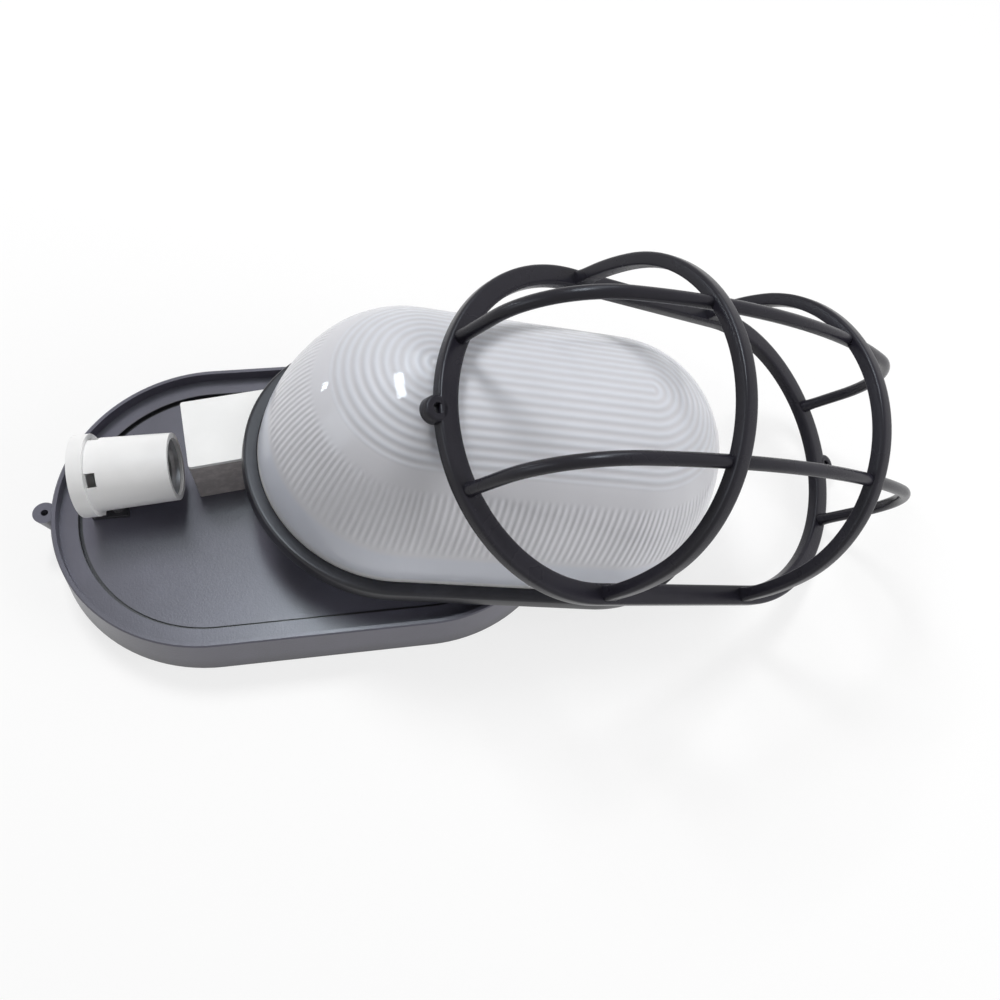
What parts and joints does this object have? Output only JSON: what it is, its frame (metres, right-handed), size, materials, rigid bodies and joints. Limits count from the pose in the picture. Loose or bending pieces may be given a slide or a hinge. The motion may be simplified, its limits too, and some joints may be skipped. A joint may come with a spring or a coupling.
{
  "type": "bulkhead light",
  "caption": "Oval bulkhead light shown opened: cast base tray with a screw lampholder and control box, ribbed milky glass dome in a rubber gasket, and a cast guard with long and cross bars.",
  "frame": {"origin": "centre of the base tray on the plane of its back, where it rests on a table or wall", "axes": "+X along the tray towards the glass dome and guard, +Y across the tray, +Z out of the tray's open side"},
  "size_m": [0.4244, 0.1731, 0.1799],
  "materials": {
    "tray_paint": "satin grey enamel on a die casting",
    "guard_paint": "satin black enamel on a casting",
    "milky_glass": "smooth outside, ribbed inside, pressed",
    "rubber": "moulded",
    "holder_white": "moulded, slight gloss",
    "box_white": "moulded, matt",
    "block_white": "moulded",
    "shell_brass": "pressed and dull",
    "screw_steel": "zinc plated"
  },
  "bodies": {
    "root": {"base_tray": "tray_paint", "cable_grommet": "rubber", "holder_cap": "holder_white", "holder_barrel": "holder_white", "holder_insert": "holder_white", "screw_shell": "screw_steel", "centre_contact": "shell_brass", "side_contact": "shell_brass", "holder_terminal_screws": "shell_brass", "foot_screws": "screw_steel", "gear_box_cover": "box_white", "gear_box_base": "box_white", "terminal_block": "block_white", "terminal_clamps": "shell_brass", "terminal_screws": "screw_steel", "block_screw": "screw_steel", "earth_screw": "shell_brass", "earth_washer": "screw_steel", "glass_dome": "milky_glass", "dome_gasket": "rubber", "guard_cage": "guard_paint"}
  },
  "joints": []
}
